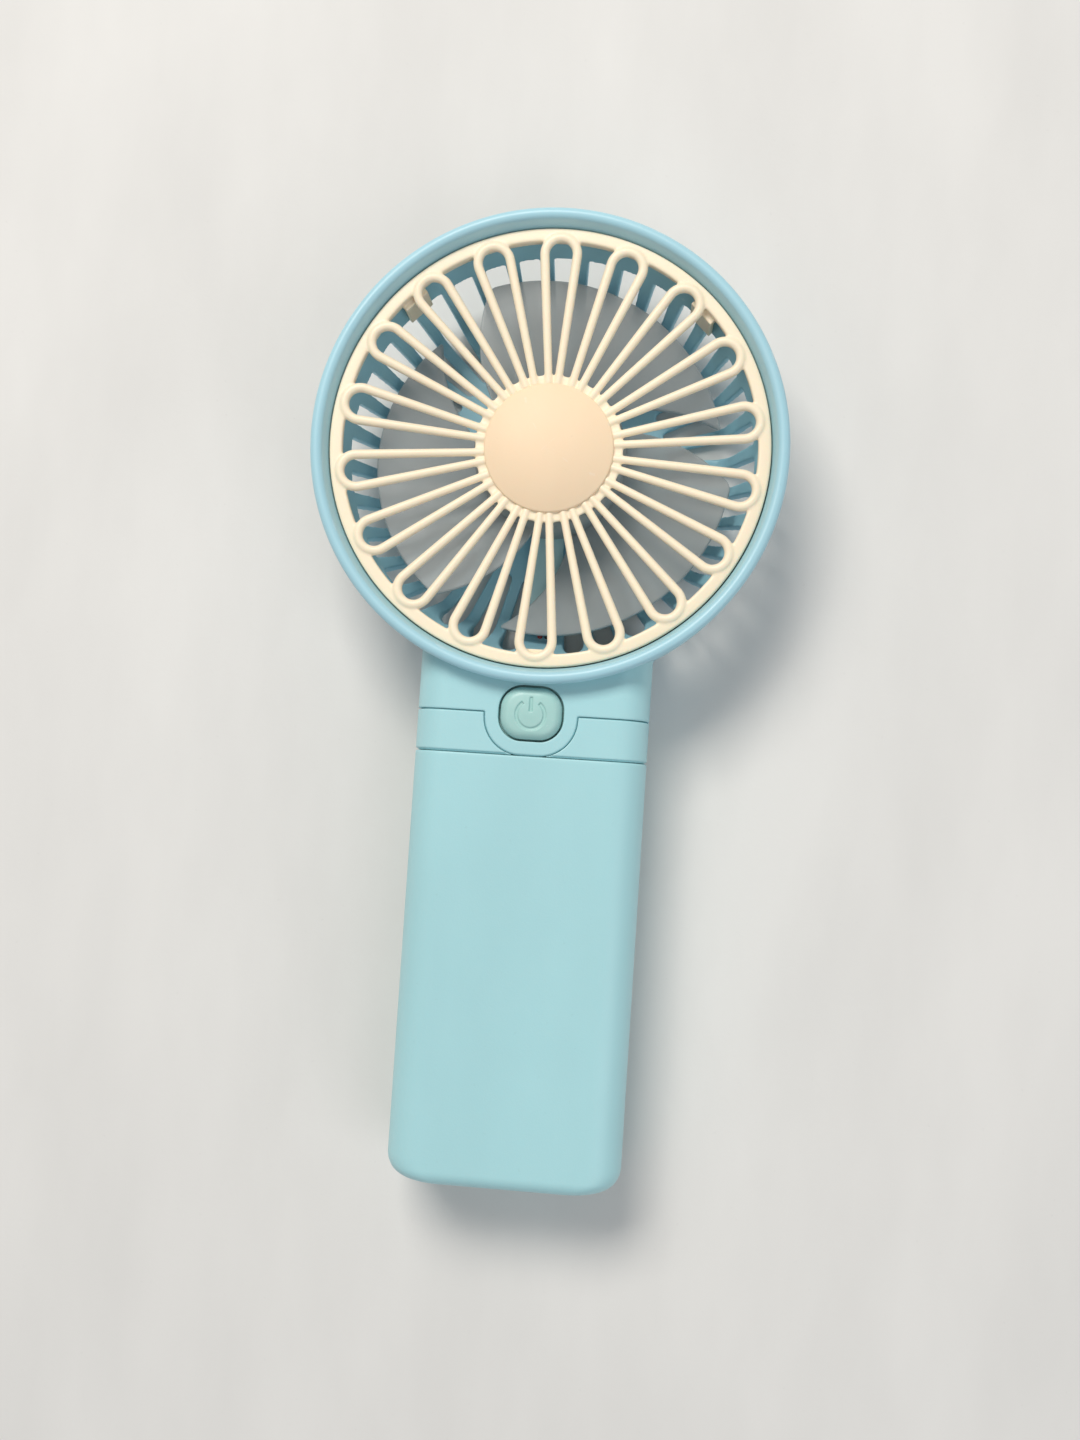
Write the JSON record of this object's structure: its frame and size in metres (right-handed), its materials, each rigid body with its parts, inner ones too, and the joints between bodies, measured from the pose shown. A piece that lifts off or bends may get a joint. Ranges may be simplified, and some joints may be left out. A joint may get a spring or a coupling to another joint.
{
  "type": "handheld electric fan",
  "caption": "Battery handheld fan with a looped front grille, a slotted bowl-shaped back, a wide-bladed rotor, a push button and a flat handle whose lower sleeve slides off.",
  "frame": {"origin": "bottom centre of the bounding box: on the plane that the fan lies on, halfway along its length", "axes": "+Z out of the front grille, +Y from the handle's end to the head, +X to the right as the front is looked at with the head up"},
  "size_m": [0.0978, 0.2006, 0.0284],
  "materials": {
    "shell_plastic": "satin moulded, pale aqua blue",
    "core_plastic": "plain moulded, off-white",
    "grille_plastic": "satin moulded, warm cream",
    "cap_plastic": "satin moulded, deeper cream",
    "blade_plastic": "frosted translucent",
    "bare_steel": "bare",
    "nickel_plate": "nickel plated spring steel",
    "ferrite": "dull sintered",
    "bush_metal": "sintered bronze",
    "copper": "bare and enamelled copper",
    "black_plastic": "matt",
    "circuit_board": "solder mask",
    "red_insulation": "smooth",
    "black_insulation": "smooth",
    "cell_jacket": "printed film over a metal can"
  },
  "bodies": {
    "casing": {"front_shell": "shell_plastic", "rear_shell": "shell_plastic", "collar": "shell_plastic", "battery_core": "core_plastic", "front_grille": "grille_plastic", "hub_cap": "cap_plastic", "motor_can": "bare_steel", "motor_end_cap": "core_plastic", "motor_magnets": "ferrite", "front_bush": "bush_metal", "rear_bush": "bush_metal", "motor_brushes": "copper", "motor_terminals": "bare_steel", "switch_body": "black_plastic", "control_board": "circuit_board", "board_components": "black_plastic", "motor_lead_red": "red_insulation", "motor_lead_black": "black_insulation", "battery_lead_red": "red_insulation", "battery_lead_black": "black_insulation", "wire_cover": "shell_plastic", "cell_left": "cell_jacket", "cell_middle": "cell_jacket", "cell_right": "cell_jacket", "top_contact_plates": "nickel_plate", "end_contact_plates": "nickel_plate", "contact_springs": "nickel_plate", "shell_screws": "bare_steel"},
    "rotor": {"fan_rotor": "blade_plastic", "motor_shaft": "bare_steel", "armature_core": "bare_steel", "armature_windings": "copper", "commutator": "copper"},
    "button": {"button_cap": "shell_plastic", "switch_plunger": "black_plastic"},
    "sleeve": {"battery_sleeve": "shell_plastic"}
  },
  "joints": [
    {"name": "rotor_spin", "type": "hinge", "parent": "casing", "child": "rotor", "pos_m": [0, 0.0514, 0.012], "axis": [0, 0, 1], "continuous": true},
    {"name": "button_press", "type": "slide", "parent": "casing", "child": "button", "axis": [0, 0, -1], "range_m": [0, 0.0005], "stiffness_N_per_m": 2500, "springref_m": -0.0003},
    {"name": "sleeve_slide", "type": "slide", "parent": "casing", "child": "sleeve", "axis": [0, -1, 0], "range_m": [0, 0.09]}
  ]
}
